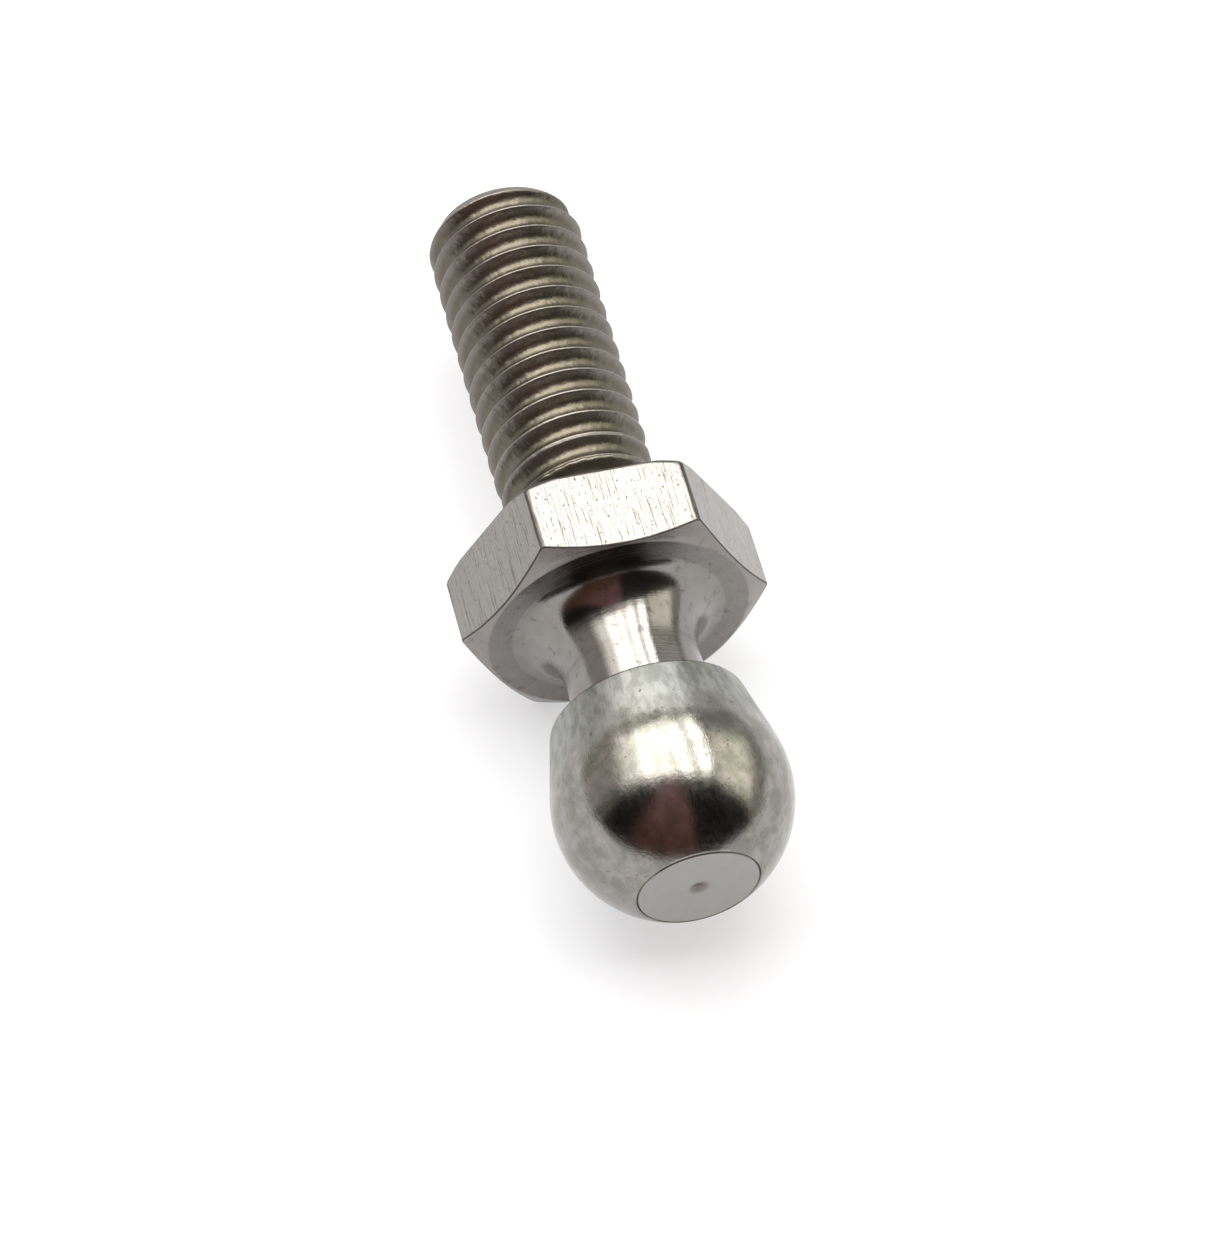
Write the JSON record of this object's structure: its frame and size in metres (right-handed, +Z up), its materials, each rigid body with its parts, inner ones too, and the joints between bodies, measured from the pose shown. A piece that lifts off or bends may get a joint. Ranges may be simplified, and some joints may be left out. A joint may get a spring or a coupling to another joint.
{
  "type": "ball stud",
  "caption": "Ball stud: an M6 threaded shank, a hexagon collar, a filleted neck and a ball on its end.",
  "frame": {"origin": "on the plane under the lower hexagon flat, below the middle of the stud's length", "axes": "+X along the stud's axis towards the ball, +Z up through the upper hexagon flat"},
  "size_m": [0.0306, 0.0116, 0.01],
  "materials": {
    "stud_steel": "turned and milled steel, bright on the hexagon and neck, darker and duller on the thread",
    "ball_steel": "finely turned steel, satin, with light handling scratches"
  },
  "bodies": {
    "root": {"threaded_stud": "stud_steel", "ball": "ball_steel"}
  },
  "joints": []
}
